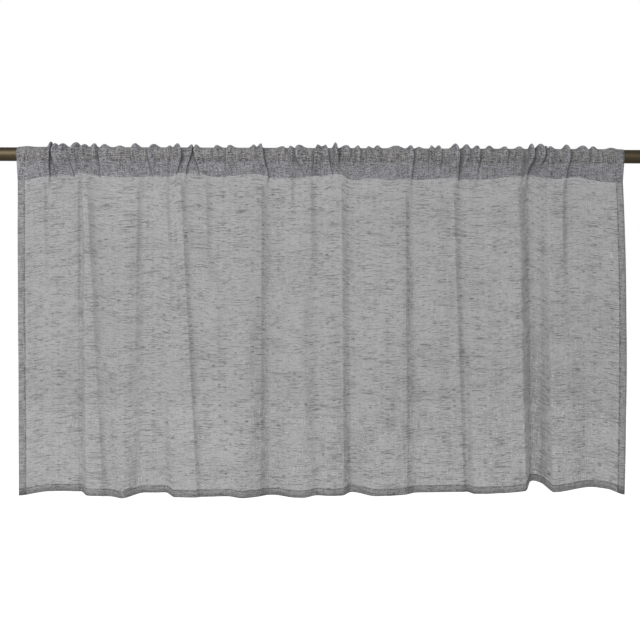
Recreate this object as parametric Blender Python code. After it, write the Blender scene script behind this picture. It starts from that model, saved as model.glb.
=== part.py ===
"""Cafe curtain gathered on its rod.

One sheet of sheer cloth hangs from a rod pocket that is threaded and bunched up on a plain round rod.
X runs along the rod, -Y faces the room, Z is up, and the origin is on the rod's axis at mid-length.
"""

from collections import namedtuple
import math

import bmesh
import bpy
import numpy as np

# Driving dimensions, in metres.
ROD_RADIUS = 0.0118
ROD_LENGTH = 1.200
ROD_CHAMFER = 0.0010
ROD_SIDES = 40
SHARP_ANGLE = math.radians(35)
CLOTH_THICKNESS = 0.0012
HEM_THICKNESS = 0.0022
ROD_GAP = 0.0005
SIDE_HEM_WIDTH = 0.0125
BOTTOM_HEM_HEIGHT = 0.0130
HEM_STEP = 0.0012
HEM_LEVEL = -0.5915
CROTCH_RISE = 0.0020
MEAN_STITCH_DROP = 0.038

# How the mesh is divided.
COLUMN_COUNT = 97
FINE_COUNT = 4001
CREASE_CROWDING = 2.2
CREASE_REACH = 2.2
DROP_ROWS = (0.0, 0.07, 0.17, 0.30, 0.45, 0.60, 0.75, 0.88)
FRONT_STEPS = (0.35, 0.70)
ARC_POINTS = 8
BACK_STEPS = (0.50,)

# How the folds run down the drop and round the pocket.
TOP_SHARE = 0.20
TOP_SLACK = -0.003
STITCHED_SHARE = 0.50
SPREAD_OUT_SHARE = 0.10
LOOP_TURN_SHARE = 0.50
LOOP_FRONT_SHARE = 0.55
LOOP_BACK_SHARE = 0.35

# The hem from left to right: depth is back from the rod's axis, lift is above the hem level.
Hem = namedtuple("Hem", "place x depth lift")
HEMS = (
    Hem("left edge", -0.527, -0.004, 0.0015),
    Hem("left hollow", -0.478, 0.014, 0.0060),
    Hem("small step, back", -0.426, 0.013, 0.0053),
    Hem("small step, front", -0.410, -0.006, 0.0010),
    Hem("shelf", -0.388, -0.005, 0.0004),
    Hem("left crest", -0.351, -0.024, -0.0015),
    Hem("left valley", -0.311, 0.012, 0.0033),
    Hem("second step, back", -0.276, 0.012, 0.0029),
    Hem("second step, front", -0.261, -0.015, -0.0009),
    Hem("broad crest", -0.214, -0.018, -0.0016),
    Hem("dip", -0.168, -0.009, -0.0006),
    Hem("centre crest", -0.140, -0.019, -0.0021),
    Hem("centre hollow", -0.090, 0.000, -0.0007),
    Hem("middle crest", -0.037, -0.020, -0.0027),
    Hem("middle dip", -0.012, -0.005, -0.0002),
    Hem("middle shelf", 0.012, -0.010, -0.0008),
    Hem("third step, front", 0.033, -0.008, 0.0001),
    Hem("third step, back", 0.043, 0.010, 0.0025),
    Hem("right crest", 0.090, -0.010, -0.0012),
    Hem("right shelf", 0.136, -0.006, -0.0003),
    Hem("right hollow", 0.176, 0.010, 0.0017),
    Hem("fourth step, back", 0.252, 0.012, 0.0014),
    Hem("fourth step, front", 0.264, -0.002, -0.0003),
    Hem("flat panel", 0.309, 0.002, 0.0007),
    Hem("great fold, front", 0.351, -0.006, 0.0060),
    Hem("great fold, back", 0.374, 0.044, 0.0160),
    Hem("great fold, inside", 0.388, 0.040, 0.0130),
    Hem("great fold, far crest", 0.404, 0.003, 0.0021),
    Hem("last hollow", 0.473, 0.020, 0.0080),
    Hem("last slope", 0.501, 0.014, 0.0060),
    Hem("right edge", 0.5265, -0.008, -0.0006),
)

# The creases: each is a trough that runs from the stitch line to the hem, or fades on the way.
Crease = namedtuple("Crease", "top_x hem_x top_depth hem_depth left right fade")
CREASES = (
    Crease(-0.481, -0.478, 0.013, 0.000, 0.004, 0.004, 0.45),
    Crease(-0.423, -0.418, 0.010, 0.001, 0.005, 0.005, 1.00),
    Crease(-0.402, -0.371, 0.011, 0.007, 0.004, 0.007, 1.00),
    Crease(-0.323, -0.326, 0.009, 0.000, 0.004, 0.004, 0.70),
    Crease(-0.260, -0.246, 0.008, 0.002, 0.005, 0.005, 0.60),
    Crease(-0.246, -0.214, 0.013, 0.009, 0.005, 0.006, 1.00),
    Crease(-0.205, -0.194, 0.009, 0.000, 0.004, 0.004, 0.35),
    Crease(-0.104, -0.104, 0.013, 0.012, 0.004, 0.010, 1.00),
    Crease(-0.021, -0.014, 0.012, 0.001, 0.004, 0.004, 0.35),
    Crease(0.033, 0.040, 0.013, 0.007, 0.004, 0.011, 1.00),
    Crease(0.150, 0.155, 0.014, 0.010, 0.005, 0.007, 1.00),
    Crease(0.233, 0.264, 0.014, 0.010, 0.005, 0.008, 1.00),
    Crease(0.344, 0.356, 0.019, 0.006, 0.006, 0.009, 1.00),
    Crease(0.425, 0.432, 0.015, 0.000, 0.006, 0.006, 0.42),
)

# The line of stitches under the pocket.
Stitch = namedtuple("Stitch", "x height")
STITCHES = (
    Stitch(-0.530, -0.045),
    Stitch(-0.500, -0.041),
    Stitch(-0.460, -0.036),
    Stitch(-0.416, -0.032),
    Stitch(-0.342, -0.039),
    Stitch(-0.270, -0.037),
    Stitch(-0.236, -0.032),
    Stitch(-0.172, -0.037),
    Stitch(-0.111, -0.032),
    Stitch(-0.062, -0.040),
    Stitch(0.017, -0.033),
    Stitch(0.049, -0.041),
    Stitch(0.119, -0.042),
    Stitch(0.220, -0.037),
    Stitch(0.276, -0.040),
    Stitch(0.358, -0.030),
    Stitch(0.405, -0.038),
    Stitch(0.440, -0.035),
    Stitch(0.530, -0.045),
)

# The gathers that stand up off the rod as loops.
Loop = namedtuple("Loop", "x half_width height")
LOOPS = (
    Loop(-0.475, 0.007, 0.008),
    Loop(-0.455, 0.010, 0.005),
    Loop(-0.425, 0.007, 0.007),
    Loop(-0.404, 0.009, 0.005),
    Loop(-0.325, 0.008, 0.005),
    Loop(-0.257, 0.008, 0.005),
    Loop(-0.224, 0.010, 0.004),
    Loop(-0.112, 0.008, 0.006),
    Loop(0.002, 0.007, 0.004),
    Loop(0.019, 0.007, 0.008),
    Loop(0.126, 0.014, 0.003),
    Loop(0.194, 0.009, 0.004),
    Loop(0.229, 0.008, 0.007),
    Loop(0.249, 0.008, 0.006),
    Loop(0.289, 0.010, 0.003),
    Loop(0.363, 0.006, 0.007),
    Loop(0.378, 0.008, 0.008),
    Loop(0.425, 0.006, 0.006),
    Loop(0.455, 0.010, 0.005),
)


def clear_scene():
    """Remove every object that the file opened with."""
    for old in list(bpy.data.objects):
        bpy.data.objects.remove(old, do_unlink=True)


def make_material(name, color, roughness, metallic):
    """A plain Principled material."""
    material = bpy.data.materials.new(name)
    material.use_nodes = True
    shader = material.node_tree.nodes["Principled BSDF"]
    shader.inputs["Base Color"].default_value = (*color, 1.0)
    shader.inputs["Roughness"].default_value = roughness
    shader.inputs["Metallic"].default_value = metallic
    return material


def smooth_curve(places, values, at):
    """Read the smooth curve through a table's rows, which never overshoots a row."""
    places = np.array(places)
    values = np.array(values)
    widths = np.diff(places)
    rises = np.diff(values) / widths
    tangents = np.zeros(len(places))
    for row in range(1, len(places) - 1):
        before, after = rises[row - 1], rises[row]
        if before * after > 0:
            tangents[row] = 2 * before * after / (before + after)
    at = np.clip(at, places[0], places[-1])
    row = np.clip(np.searchsorted(places, at, side="right") - 1, 0, len(widths) - 1)
    t = (at - places[row]) / widths[row]
    start = (2 * t**3 - 3 * t**2 + 1) * values[row] + (t**3 - 2 * t**2 + t) * widths[row] * tangents[row]
    end = (3 * t**2 - 2 * t**3) * values[row + 1] + (t**3 - t**2) * widths[row] * tangents[row + 1]
    return start + end


def ease(share):
    """Go from 0 to 1 with a level start and end."""
    share = min(max(share, 0.0), 1.0)
    return share * share * (3 - 2 * share)


def trough(offset, left, right):
    """A round-bottomed trough with its own width on each side."""
    width = np.where(offset < 0, left, right)
    return np.exp(-((offset / width) ** 2))


def column_places():
    """Spread the columns over the hem, closer together at the creases and where the hem steps."""
    fine = np.linspace(HEMS[0].x, HEMS[-1].x, FINE_COUNT)
    density = np.ones_like(fine)
    for crease in CREASES:
        left, right = CREASE_REACH * crease.left, CREASE_REACH * crease.right
        density += CREASE_CROWDING * trough(fine - crease.hem_x, left, right)
    for near, far in zip(HEMS, HEMS[1:]):
        steepness = abs(far.depth - near.depth) / (far.x - near.x)
        density += np.where((fine >= near.x) & (fine <= far.x), steepness, 0.0)
    total = np.concatenate([[0.0], np.cumsum((density[1:] + density[:-1]) / 2)])
    spread = np.interp(np.linspace(0.0, total[-1], COLUMN_COUNT - 4), total, fine)
    left, right = HEMS[0].x + SIDE_HEM_WIDTH, HEMS[-1].x - SIDE_HEM_WIDTH
    hems = np.array([left, left + HEM_STEP, right - HEM_STEP, right])
    inside = [x for x in spread if np.min(np.abs(hems - x)) > HEM_STEP]
    return np.sort(np.concatenate([inside, hems]))


def top_places(columns):
    """Where each column stands at the stitch line: the creases lean, and their neighbours with them."""
    hem_x = [HEMS[0].x] + [crease.hem_x for crease in CREASES] + [HEMS[-1].x]
    lean = [STITCHES[0].x - HEMS[0].x]
    lean += [crease.top_x - crease.hem_x for crease in CREASES]
    lean += [STITCHES[-1].x - HEMS[-1].x]
    return columns + smooth_curve(hem_x, lean, columns)


def drop_row(columns, share):
    """One level row of the drop, from 0 at the stitch line to 1 at the hem."""
    top_x = top_places(columns)
    top_z = smooth_curve([s.x for s in STITCHES], [s.height for s in STITCHES], top_x)
    hem_z = HEM_LEVEL + smooth_curve([h.x for h in HEMS], [h.lift for h in HEMS], columns)
    depth = smooth_curve([h.x for h in HEMS], [h.depth for h in HEMS], columns)
    depth = depth * (TOP_SHARE + (1 - TOP_SHARE) * share) + TOP_SLACK * (1 - share)
    held = STITCHED_SHARE + (1 - STITCHED_SHARE) * ease(share / SPREAD_OUT_SHARE)
    for crease in CREASES:
        fading = 1 - ease(share / crease.fade) if crease.fade < 1 else 1 - share
        deep = held * (crease.hem_depth + (crease.top_depth - crease.hem_depth) * fading)
        depth = depth + deep * trough(columns - crease.hem_x, crease.left, crease.right)
    x = top_x + (columns - top_x) * share
    z = top_z + (hem_z - top_z) * share
    return np.stack([x, depth, z], axis=1)


def pocket_column(root, half):
    """The pocket's loop over the rod at one column, from the front of the stitch line to its back."""
    radius = ROD_RADIUS + ROD_GAP + half
    bulge = sum(p.height * math.exp(-(((root[0] - p.x) / p.half_width) ** 2)) for p in LOOPS)
    reach = math.hypot(root[1], root[2])
    down = LOOP_TURN_SHARE * math.atan2(root[1], -root[2])
    opening = math.acos(radius / reach)
    arc_step = (2 * math.pi - 2 * opening) / (ARC_POINTS - 1)
    corner = radius / math.cos(arc_step / 2)
    points = []

    def on_circle(angle, out):
        """A point at an angle from straight down, positive towards the back."""
        return np.array([root[0], (corner + out) * math.sin(angle), -(corner + out) * math.cos(angle)])

    front = bulge * LOOP_FRONT_SHARE
    back = bulge * LOOP_BACK_SHARE
    front_touch = on_circle(down - opening, front)
    back_touch = on_circle(down + opening, back)
    for share in FRONT_STEPS:
        points.append(root + (front_touch - root) * share)
    for step in range(ARC_POINTS):
        share = step / (ARC_POINTS - 1)
        angle = down - opening - step * arc_step
        side = front if share < 0.5 else back
        out = side + (bulge - side) * math.sin(math.pi * share) ** 2
        points.append(on_circle(angle, out))
    for share in BACK_STEPS:
        points.append(back_touch + (root - back_touch) * share)
    return points


def surface_normals(grid):
    """Unit normals of a grid of points, by rows and columns; they point to the room on the front."""
    along = np.gradient(grid, axis=1)
    up = np.gradient(grid, axis=0)
    normals = np.cross(along, up)
    return normals / np.linalg.norm(normals, axis=2, keepdims=True)


def half_thickness(columns, rows_from_hem):
    """Half the cloth's thickness, more where the side hems and the bottom hem are turned."""
    inside_left = columns - HEMS[0].x > SIDE_HEM_WIDTH + HEM_STEP / 2
    inside_right = HEMS[-1].x - columns > SIDE_HEM_WIDTH + HEM_STEP / 2
    across = np.where(inside_left & inside_right, CLOTH_THICKNESS, HEM_THICKNESS)
    down = np.where(rows_from_hem < BOTTOM_HEM_HEIGHT + HEM_STEP / 2, HEM_THICKNESS, 0.0)
    return np.maximum(across[None, :], down[:, None])[:, :, None] / 2


def add_strip(mesh, rows):
    """Join neighbouring rows of corners with four-sided faces."""
    for low, high in zip(rows, rows[1:]):
        for c in range(len(low) - 1):
            mesh.faces.new((low[c], low[c + 1], high[c + 1], high[c]))


def make_curtain():
    """The cloth in one piece: the drop, and the pocket that loops over the rod above it."""
    columns = column_places()
    drop_height = -HEM_LEVEL - MEAN_STITCH_DROP
    hem_rows = (1 - (BOTTOM_HEM_HEIGHT + HEM_STEP) / drop_height, 1 - BOTTOM_HEM_HEIGHT / drop_height, 1.0)
    shares = DROP_ROWS + hem_rows
    drop = np.array([drop_row(columns, share) for share in shares])[::-1]
    from_hem = (1 - np.array(shares)[::-1]) * drop_height
    roots = drop[-1]
    drop_half = half_thickness(columns, from_hem)
    root_half = drop_half[-1]
    loop = np.array([pocket_column(root, half[0]) for root, half in zip(roots, root_half)])
    loop = loop.transpose(1, 0, 2)
    loop_half = root_half[None, :]
    drop_out = surface_normals(drop)
    loop_out = surface_normals(loop)
    crotch = roots + np.array([0.0, 0.0, CROTCH_RISE])

    mesh = bmesh.new()
    front = [[mesh.verts.new(p) for p in row] for row in drop + drop_out * drop_half]
    back = [[mesh.verts.new(p) for p in row] for row in drop - drop_out * drop_half]
    outer = [[mesh.verts.new(p) for p in row] for row in loop + loop_out * loop_half]
    inner = [[mesh.verts.new(p) for p in row] for row in loop - loop_out * loop_half]
    tunnel = [mesh.verts.new(p) for p in crotch]

    add_strip(mesh, front + outer + back[::-1] + [front[0]])
    add_strip(mesh, [tunnel] + inner[::-1] + [tunnel])
    for end in (0, -1):
        add_end(mesh, [row[end] for row in front], [row[end] for row in back],
                [row[end] for row in outer], [row[end] for row in inner], tunnel[end], end == 0)
    mesh.normal_update()
    return mesh


def add_end(mesh, front, back, outer, inner, tunnel, is_left):
    """Close one side edge of the cloth, from the hem up and round the pocket."""
    faces = []
    for step in range(len(front) - 1):
        faces.append((front[step], front[step + 1], back[step + 1], back[step]))
    faces.append((front[-1], tunnel, back[-1]))
    faces.append((front[-1], outer[0], inner[0], tunnel))
    for step in range(len(outer) - 1):
        faces.append((outer[step], outer[step + 1], inner[step + 1], inner[step]))
    faces.append((outer[-1], back[-1], tunnel, inner[-1]))
    for face in faces:
        mesh.faces.new(face if is_left else face[::-1])


def make_rod():
    """A plain round rod with a small chamfer at each end."""
    mesh = bmesh.new()
    bmesh.ops.create_cone(mesh, cap_ends=True, segments=ROD_SIDES, radius1=ROD_RADIUS, radius2=ROD_RADIUS,
                          depth=ROD_LENGTH)
    rims = [edge for edge in mesh.edges if any(len(face.verts) > 4 for face in edge.link_faces)]
    bmesh.ops.bevel(mesh, geom=rims, offset=ROD_CHAMFER, offset_type="OFFSET", segments=1, profile=0.5,
                    affect="EDGES", material=-1)
    return mesh


def place(name, mesh, material, rotation=(0.0, 0.0, 0.0)):
    """Turn a bmesh into a named, smoothly shaded object with its material."""
    data = bpy.data.meshes.new(name)
    mesh.to_mesh(data)
    mesh.free()
    data.materials.append(material)
    data.shade_smooth()
    data.set_sharp_from_angle(angle=SHARP_ANGLE)
    thing = bpy.data.objects.new(name, data)
    thing.rotation_euler = rotation
    bpy.context.scene.collection.objects.link(thing)
    return thing


def main():
    clear_scene()
    cloth = make_material("sheer_grey_cloth", (0.20, 0.20, 0.205), 0.9, 0.0)
    bronze = make_material("bronze_rod", (0.16, 0.13, 0.09), 0.35, 0.9)
    place("curtain", make_curtain(), cloth)
    place("rod", make_rod(), bronze, rotation=(0.0, math.pi / 2, 0.0))


main()
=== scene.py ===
# %% [markdown]
# # A cafe curtain on its rod
# A cafe curtain is a short curtain that covers the lower half of a window. This one is a single width of
# sheer grey cloth with a linen look. A pocket is sewn along its top, and the rod is pushed through the
# pocket, so that the cloth bunches up into small pinches. The frame brings the rod and a plain solid of
# the cloth at their real sizes. The rod stays, with a better finish, and a fine thin sheet takes the
# place of the plain cloth.

# %% Load the frame
from collections import namedtuple
import math

import bmesh
import bpy
import numpy as np
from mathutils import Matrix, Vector


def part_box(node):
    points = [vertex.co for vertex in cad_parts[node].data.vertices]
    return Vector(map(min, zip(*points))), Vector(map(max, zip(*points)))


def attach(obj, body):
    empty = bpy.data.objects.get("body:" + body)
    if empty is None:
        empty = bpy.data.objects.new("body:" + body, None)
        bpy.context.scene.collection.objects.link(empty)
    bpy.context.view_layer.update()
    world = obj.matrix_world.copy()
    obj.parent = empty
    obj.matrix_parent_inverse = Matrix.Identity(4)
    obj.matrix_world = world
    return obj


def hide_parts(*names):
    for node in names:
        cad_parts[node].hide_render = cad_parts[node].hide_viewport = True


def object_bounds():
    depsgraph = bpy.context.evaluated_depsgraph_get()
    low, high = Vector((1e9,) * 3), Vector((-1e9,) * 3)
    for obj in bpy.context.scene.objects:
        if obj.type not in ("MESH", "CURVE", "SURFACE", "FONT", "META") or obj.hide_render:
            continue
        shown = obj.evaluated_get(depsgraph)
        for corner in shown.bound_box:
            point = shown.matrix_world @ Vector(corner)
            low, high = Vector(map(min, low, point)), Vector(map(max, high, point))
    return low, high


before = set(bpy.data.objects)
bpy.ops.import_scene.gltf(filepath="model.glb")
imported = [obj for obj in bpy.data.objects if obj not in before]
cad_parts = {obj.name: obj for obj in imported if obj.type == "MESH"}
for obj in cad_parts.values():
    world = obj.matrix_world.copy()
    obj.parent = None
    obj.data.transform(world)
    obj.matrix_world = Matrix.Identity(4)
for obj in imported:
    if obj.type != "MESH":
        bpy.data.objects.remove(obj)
cad_low, cad_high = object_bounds()
print("frame holds", sorted(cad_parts), "in a box from", tuple(cad_low), "to", tuple(cad_high))

# %% [markdown]
# The measured sizes come first. X runs along the rod, minus Y faces the room and Z is up, and the rod's
# axis is the zero of Y and Z. The rod's own box gives its radius, so the pocket fits it whatever its size.
# The cloth's box is read from the same frame and its drop is printed; the level of the hem and the mean
# drop to the stitch line are given as numbers, and what is left are the widths a sewer would choose: how
# far each edge is turned in, how loosely the pocket sits on the rod, and how much air there is between
# two layers.

# %% Sizes, in metres
rod_low, rod_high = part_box("rod")
cloth_low, cloth_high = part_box("curtain")
ROD_RADIUS = (rod_high.z - rod_low.z) / 2
LAYER_GAP = 0.0004
SIDE_HEM = 0.0125
BOTTOM_HEM = 0.0130
POCKET_SLACK = 0.0011
POCKET_RADIUS = ROD_RADIUS + POCKET_SLACK
HEM_LEVEL = -0.5915
MEAN_STITCH_DROP = 0.038
print("rod radius", round(ROD_RADIUS, 5), "cloth drop", round(cloth_high.z - cloth_low.z, 4))

# %% [markdown]
# A hanging cloth is easiest to describe from its hem. Seen from below, the hem is a wandering line: it
# steps forward over each fold and back into each hollow, and it lifts a little where the cloth is drawn
# back. Simulation would give folds, but not these folds, so they are given as a short table.

# %% The wandering line of the hem
Hem = namedtuple("Hem", "place x depth lift")
HEMS = (
    Hem("left edge", -0.5290, 0.003, 0.0004),
    Hem("left hollow", -0.478, 0.009, 0.0068),
    Hem("small step, back", -0.426, 0.013, 0.0053),
    Hem("small step, front", -0.410, -0.006, 0.0010),
    Hem("shelf", -0.388, -0.005, 0.0004),
    Hem("left crest", -0.351, -0.015, -0.0028),
    Hem("left valley", -0.311, 0.003, 0.0047),
    Hem("second step, back", -0.276, 0.001, 0.0048),
    Hem("second step, front", -0.259, -0.007, -0.0020),
    Hem("broad crest", -0.214, -0.013, -0.0016),
    Hem("dip", -0.168, -0.009, -0.0006),
    Hem("centre crest", -0.140, -0.019, -0.0021),
    Hem("centre hollow", -0.090, 0.000, -0.0007),
    Hem("middle crest", -0.037, -0.015, -0.0030),
    Hem("middle dip", -0.012, -0.008, 0.0001),
    Hem("middle shelf", 0.012, -0.010, -0.0008),
    Hem("third step, front", 0.033, -0.005, -0.0003),
    Hem("third step, back", 0.048, 0.003, 0.0032),
    Hem("right crest", 0.090, -0.010, -0.0012),
    Hem("right shelf", 0.136, -0.006, -0.0003),
    Hem("right hollow", 0.176, 0.010, 0.0017),
    Hem("fourth step, back", 0.252, 0.012, 0.0014),
    Hem("fourth step, front", 0.264, -0.002, -0.0003),
    Hem("flat panel", 0.309, 0.002, 0.0007),
    Hem("great fold, front", 0.351, -0.006, 0.0060),
    Hem("great fold, back", 0.374, 0.038, 0.0170),
    Hem("great fold, inside", 0.388, 0.033, 0.0140),
    Hem("great fold, far crest", 0.404, 0.003, 0.0021),
    Hem("last hollow", 0.473, 0.020, 0.0080),
    Hem("last slope", 0.501, 0.014, 0.0060),
    Hem("right edge", 0.5298, 0.004, -0.0026),
)
print("the hem has", len(HEMS), "places")

# %% [markdown]
# From the stitch line under the pocket, creases run down the cloth. Each is a soft trough that is deepest
# at the top. Some reach the hem and some fade on the way, and most lean a little as they fall. A row says
# where the edge of a crease runs. The cloth drops back sharply just beside that edge, levels out at the end
# of its fall and comes forward again gently, which makes a fold look like a fold and not like a wave.

# %% The creases of the drop
Crease = namedtuple("Crease", "top_x hem_x top_depth hem_depth fall back fade")
CREASES = (
    Crease(-0.4850, -0.4830, 0.0046, 0.0000, 0.0085, 0.010, 0.45),
    Crease(-0.4270, -0.4300, 0.0036, 0.0026, 0.0110, 0.012, 1.00),
    Crease(-0.4120, -0.3830, 0.0100, 0.0096, 0.0160, 0.016, 1.00),
    Crease(-0.3230, -0.3300, 0.0036, 0.0006, 0.0110, 0.014, 0.75),
    Crease(-0.2740, -0.2560, 0.0032, 0.0010, 0.0110, 0.010, 0.70),
    Crease(-0.2500, -0.2200, 0.0090, 0.0060, 0.0110, 0.014, 1.00),
    Crease(-0.2060, -0.1950, 0.0074, 0.0000, 0.0080, 0.012, 0.50),
    Crease(-0.1090, -0.1100, 0.0056, 0.0050, 0.0170, 0.018, 1.00),
    Crease(-0.0570, -0.0560, 0.0056, 0.0000, 0.0070, 0.010, 0.18),
    Crease(-0.0230, -0.0200, 0.0062, 0.0006, 0.0130, 0.016, 0.42),
    Crease(0.0300, 0.0350, 0.0056, 0.0038, 0.0180, 0.018, 1.00),
    Crease(0.1420, 0.1450, 0.0054, 0.0040, 0.0130, 0.016, 1.00),
    Crease(0.2260, 0.2470, 0.0095, 0.0084, 0.0140, 0.018, 1.00),
    Crease(0.2600, 0.2660, 0.0044, 0.0000, 0.0070, 0.010, 0.18),
    Crease(0.3370, 0.3480, 0.0070, 0.0004, 0.0220, 0.018, 1.00),
    Crease(0.4180, 0.4260, 0.0092, 0.0000, 0.0120, 0.014, 0.55),
)
TOP_SHARE = 0.20
TOP_SLACK = -0.003
STITCHED_SHARE = 0.50
SPREAD_OUT_SHARE = 0.10
print(len(CREASES), "creases,", sum(crease.fade == 1 for crease in CREASES), "of them reach the hem")

# %% [markdown]
# The stitch line that closes the pocket isn't level either. It is drawn up where the gathers are tight and
# it sags between them.

# %% The stitch line under the pocket
Stitch = namedtuple("Stitch", "x height")
STITCHES = (
    Stitch(-0.5295, -0.0465),
    Stitch(-0.515, -0.0450),
    Stitch(-0.500, -0.0410),
    Stitch(-0.475, -0.0370),
    Stitch(-0.446, -0.0355),
    Stitch(-0.436, -0.0370),
    Stitch(-0.422, -0.0320),
    Stitch(-0.408, -0.0330),
    Stitch(-0.392, -0.0365),
    Stitch(-0.370, -0.0385),
    Stitch(-0.350, -0.0400),
    Stitch(-0.329, -0.0395),
    Stitch(-0.302, -0.0370),
    Stitch(-0.267, -0.0380),
    Stitch(-0.253, -0.0325),
    Stitch(-0.236, -0.0315),
    Stitch(-0.217, -0.0325),
    Stitch(-0.201, -0.0365),
    Stitch(-0.184, -0.0385),
    Stitch(-0.160, -0.0370),
    Stitch(-0.120, -0.0330),
    Stitch(-0.106, -0.0345),
    Stitch(-0.097, -0.0385),
    Stitch(-0.062, -0.0405),
    Stitch(-0.031, -0.0380),
    Stitch(0.003, -0.0350),
    Stitch(0.017, -0.0325),
    Stitch(0.030, -0.0340),
    Stitch(0.040, -0.0400),
    Stitch(0.054, -0.0425),
    Stitch(0.090, -0.0400),
    Stitch(0.118, -0.0430),
    Stitch(0.143, -0.0400),
    Stitch(0.165, -0.0420),
    Stitch(0.220, -0.0380),
    Stitch(0.251, -0.0410),
    Stitch(0.290, -0.0410),
    Stitch(0.315, -0.0370),
    Stitch(0.350, -0.0345),
    Stitch(0.358, -0.0305),
    Stitch(0.388, -0.0380),
    Stitch(0.405, -0.0390),
    Stitch(0.440, -0.0355),
    Stitch(0.469, -0.0410),
    Stitch(0.491, -0.0440),
    Stitch(0.5245, -0.0450),
)
print("the stitch line has", len(STITCHES), "places")

# %% [markdown]
# The pocket is wider than the stretch of rod it sits on, so the spare cloth stands up in pinches. Each row
# says where a pinch crosses the top of the rod, how wide its two flanks are, how high it stands, how far
# its crest leans over to one side, how far down the front it runs (1 is the stitch line), how far it
# drifts sideways on the way and how far it bows out halfway. A pinch that leans further than its flank is
# wide hangs over its neighbour, and the gap under it reads as a dark line, partly from its real shadow
# and partly from painted shadow that is added to the cloth's colour further on.

# %% The pinches of the pocket
Pinch = namedtuple("Pinch", "x left right height lean foot drift bow", defaults=(0.0,))
PINCHES = (
    Pinch(-0.5130, 0.0080, 0.0100, 0.0012, 0.0000, 0.50, 0.000),
    Pinch(-0.4730, 0.0034, 0.0024, 0.0092, 0.0026, 1.00, -0.005, -0.0010),
    Pinch(-0.4630, 0.0042, 0.0044, 0.0064, -0.0058, 1.00, 0.006),
    Pinch(-0.4490, 0.0040, 0.0052, 0.0064, -0.0070, 0.90, -0.005, -0.0015),
    Pinch(-0.4260, 0.0048, 0.0050, 0.0082, -0.0060, 1.00, 0.001, -0.0040),
    Pinch(-0.4120, 0.0032, 0.0040, 0.0052, -0.0056, 0.90, -0.002, -0.0030),
    Pinch(-0.3980, 0.0050, 0.0045, 0.0066, 0.0010, 0.70, 0.003),
    Pinch(-0.3780, 0.0040, 0.0054, 0.0054, -0.0066, 1.00, -0.003),
    Pinch(-0.3540, 0.0060, 0.0060, 0.0030, 0.0000, 0.50, 0.000),
    Pinch(-0.3250, 0.0034, 0.0056, 0.0070, -0.0068, 0.90, 0.000),
    Pinch(-0.2920, 0.0046, 0.0060, 0.0058, -0.0074, 1.00, 0.003, -0.0030),
    Pinch(-0.2680, 0.0036, 0.0036, 0.0034, 0.0010, 1.00, -0.006),
    Pinch(-0.2570, 0.0042, 0.0042, 0.0072, 0.0044, 1.00, -0.004, 0.0060),
    Pinch(-0.2310, 0.0036, 0.0030, 0.0056, 0.0042, 1.00, -0.012),
    Pinch(-0.2200, 0.0030, 0.0036, 0.0054, -0.0056, 1.00, 0.009),
    Pinch(-0.1840, 0.0040, 0.0055, 0.0044, -0.0058, 0.80, -0.003),
    Pinch(-0.1620, 0.0046, 0.0060, 0.0048, -0.0046, 1.00, -0.002),
    Pinch(-0.1220, 0.0052, 0.0038, 0.0056, 0.0005, 0.70, -0.002),
    Pinch(-0.1110, 0.0042, 0.0034, 0.0076, 0.0046, 1.00, 0.010, -0.0040),
    Pinch(-0.0730, 0.0070, 0.0040, 0.0030, 0.0040, 0.80, 0.001),
    Pinch(-0.0570, 0.0034, 0.0040, 0.0038, -0.0036, 0.80, 0.000),
    Pinch(-0.0400, 0.0046, 0.0070, 0.0056, -0.0074, 1.00, 0.014, -0.0055),
    Pinch(-0.0085, 0.0034, 0.0042, 0.0062, -0.0064, 1.00, -0.005, 0.0015),
    Pinch(0.0015, 0.0040, 0.0034, 0.0058, 0.0044, 1.00, 0.008, -0.0030),
    Pinch(0.0185, 0.0032, 0.0034, 0.0100, 0.0032, 0.90, 0.004),
    Pinch(0.0370, 0.0075, 0.0060, 0.0054, 0.0046, 0.62, -0.002, 0.0030),
    Pinch(0.0580, 0.0036, 0.0034, 0.0048, 0.0036, 0.80, 0.001),
    Pinch(0.0790, 0.0034, 0.0040, 0.0038, -0.0034, 0.60, 0.000),
    Pinch(0.0930, 0.0046, 0.0050, 0.0052, 0.0010, 0.80, 0.001),
    Pinch(0.1260, 0.0110, 0.0100, 0.0048, 0.0000, 0.50, 0.000),
    Pinch(0.1500, 0.0044, 0.0036, 0.0054, 0.0042, 1.00, -0.001),
    Pinch(0.1660, 0.0050, 0.0050, 0.0028, 0.0000, 0.60, 0.000),
    Pinch(0.1890, 0.0032, 0.0034, 0.0054, -0.0038, 0.90, -0.003),
    Pinch(0.1990, 0.0038, 0.0032, 0.0056, 0.0038, 0.90, 0.000),
    Pinch(0.2280, 0.0060, 0.0044, 0.0088, 0.0046, 1.00, 0.002),
    Pinch(0.2490, 0.0060, 0.0052, 0.0076, 0.0005, 0.80, 0.000),
    Pinch(0.2660, 0.0046, 0.0036, 0.0056, 0.0042, 1.00, -0.002),
    Pinch(0.2890, 0.0050, 0.0055, 0.0054, 0.0000, 0.60, 0.000),
    Pinch(0.3150, 0.0055, 0.0036, 0.0042, 0.0044, 0.70, 0.000),
    Pinch(0.3420, 0.0065, 0.0050, 0.0044, 0.0010, 0.80, 0.004),
    Pinch(0.3620, 0.0034, 0.0028, 0.0092, 0.0036, 1.00, -0.008),
    Pinch(0.3770, 0.0062, 0.0044, 0.0090, 0.0050, 0.86, -0.012, 0.0050),
    Pinch(0.3880, 0.0030, 0.0032, 0.0054, 0.0010, 0.70, 0.003),
    Pinch(0.3980, 0.0036, 0.0046, 0.0050, -0.0042, 1.00, -0.002),
    Pinch(0.4230, 0.0044, 0.0032, 0.0078, 0.0046, 1.00, -0.002),
    Pinch(0.4520, 0.0075, 0.0044, 0.0062, 0.0044, 0.80, 0.004, 0.0030),
    Pinch(0.4720, 0.0044, 0.0050, 0.0050, -0.0010, 0.60, 0.002),
    Pinch(0.5040, 0.0080, 0.0070, 0.0026, 0.0000, 0.50, 0.000),
)
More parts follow.
